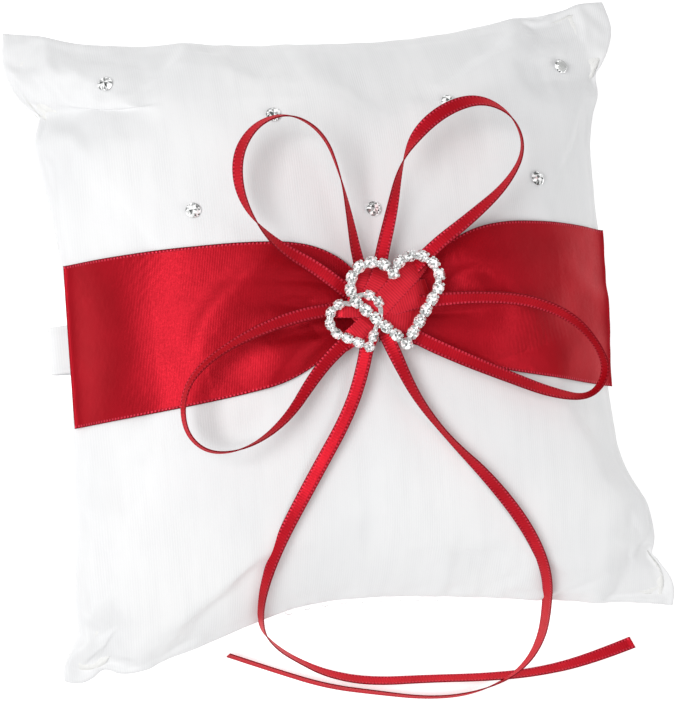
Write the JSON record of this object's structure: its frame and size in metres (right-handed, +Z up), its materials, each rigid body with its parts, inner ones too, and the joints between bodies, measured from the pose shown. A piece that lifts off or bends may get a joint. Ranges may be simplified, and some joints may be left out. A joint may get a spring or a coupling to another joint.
{
  "type": "ring bearer pillow",
  "caption": "Square stuffed white satin cushion with a gathered red ribbon band, a narrow ribbon bow with loops and long tails, a linked-heart crystal buckle and scattered crystals.",
  "frame": {"origin": "on the resting surface, below the middle of the pillow, which lies on its back", "axes": "+Z up, out of the front panel with the bow; +Y towards the pillow's top edge, where the crystals are; +X to its right"},
  "size_m": [0.2, 0.226, 0.0765],
  "materials": {
    "white_satin": "satin",
    "polyester_fibre": "loose fibre",
    "white_thread": "sewing thread",
    "red_satin": "satin with woven edges",
    "red_thread": "sewing thread",
    "silver_setting": "polished plate",
    "clear_crystal": "faceted, foil backed",
    "clear_glue": "dried clear glue"
  },
  "bodies": {
    "root": {"back_panel": "white_satin", "big_heart_frame": "silver_setting", "big_heart_stones": "clear_crystal", "bow_knot": "red_satin", "bow_loop_lower_left": "red_satin", "bow_loop_lower_right": "red_satin", "bow_loop_upper_left": "red_satin", "bow_loop_upper_right": "red_satin", "buckle_stitches": "white_thread", "closing_stitches": "white_thread", "crystal_1": "clear_crystal", "crystal_2": "clear_crystal", "crystal_3": "clear_crystal", "crystal_4": "clear_crystal", "crystal_5": "clear_crystal", "crystal_6": "clear_crystal", "crystal_7": "clear_crystal", "crystal_glue": "clear_glue", "fibre_fill": "polyester_fibre", "front_panel": "white_satin", "gather_thread": "red_thread", "hand_strap": "white_satin", "seam_thread": "white_thread", "small_heart_frame": "silver_setting", "small_heart_stones": "clear_crystal", "tail_left": "red_satin", "tail_right": "red_satin", "wide_ribbon": "red_satin"}
  },
  "joints": []
}
